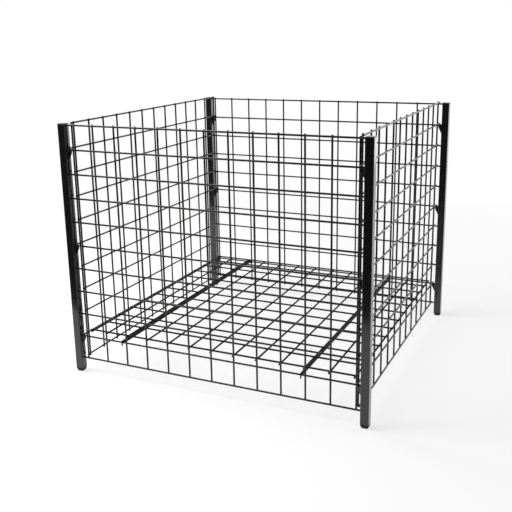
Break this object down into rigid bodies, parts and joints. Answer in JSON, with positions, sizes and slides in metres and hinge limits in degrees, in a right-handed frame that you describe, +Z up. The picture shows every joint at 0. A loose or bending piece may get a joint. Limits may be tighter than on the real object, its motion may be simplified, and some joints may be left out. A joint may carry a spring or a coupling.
{
  "type": "retail dump bin",
  "caption": "Free-standing square dump bin of black wire grid: two welded frames on tube legs, two hooked-on side panels and a hook-on wire shelf as its floor.",
  "frame": {"origin": "on the floor, under the middle of the bin", "axes": "+X to the right as seen from the front, +Y from the front to the back, +Z up"},
  "size_m": [0.9972, 0.973, 0.821],
  "materials": {
    "powder_coat": "semi-gloss black powder coat",
    "black_plastic": "moulded black plastic"
  },
  "bodies": {
    "frame": {"leg_front_left": "powder_coat", "cap_front_left": "black_plastic", "glide_front_left": "black_plastic", "gusset_front_left_upper": "powder_coat", "gusset_front_left_middle": "powder_coat", "gusset_front_left_lower": "powder_coat", "leg_front_right": "powder_coat", "cap_front_right": "black_plastic", "glide_front_right": "black_plastic", "gusset_front_right_upper": "powder_coat", "gusset_front_right_middle": "powder_coat", "gusset_front_right_lower": "powder_coat", "leg_back_left": "powder_coat", "cap_back_left": "black_plastic", "glide_back_left": "black_plastic", "gusset_back_left_upper": "powder_coat", "gusset_back_left_middle": "powder_coat", "gusset_back_left_lower": "powder_coat", "leg_back_right": "powder_coat", "cap_back_right": "black_plastic", "glide_back_right": "black_plastic", "gusset_back_right_upper": "powder_coat", "gusset_back_right_middle": "powder_coat", "gusset_back_right_lower": "powder_coat", "panel_front": "powder_coat", "panel_back": "powder_coat"},
    "left_panel": {"panel_left": "powder_coat"},
    "right_panel": {"panel_right": "powder_coat"},
    "shelf": {"shelf_mat": "powder_coat", "shelf_bar_left": "powder_coat", "shelf_bar_right": "powder_coat"}
  },
  "joints": [
    {"name": "shelf_lift", "type": "slide", "parent": "frame", "child": "shelf", "axis": [0, 0, 1], "range_m": [0, 0.045]},
    {"name": "left_panel_lift", "type": "slide", "parent": "frame", "child": "left_panel", "axis": [0, 0, 1], "range_m": [0, 0.045]},
    {"name": "right_panel_lift", "type": "slide", "parent": "frame", "child": "right_panel", "axis": [0, 0, 1], "range_m": [0, 0.045]}
  ]
}
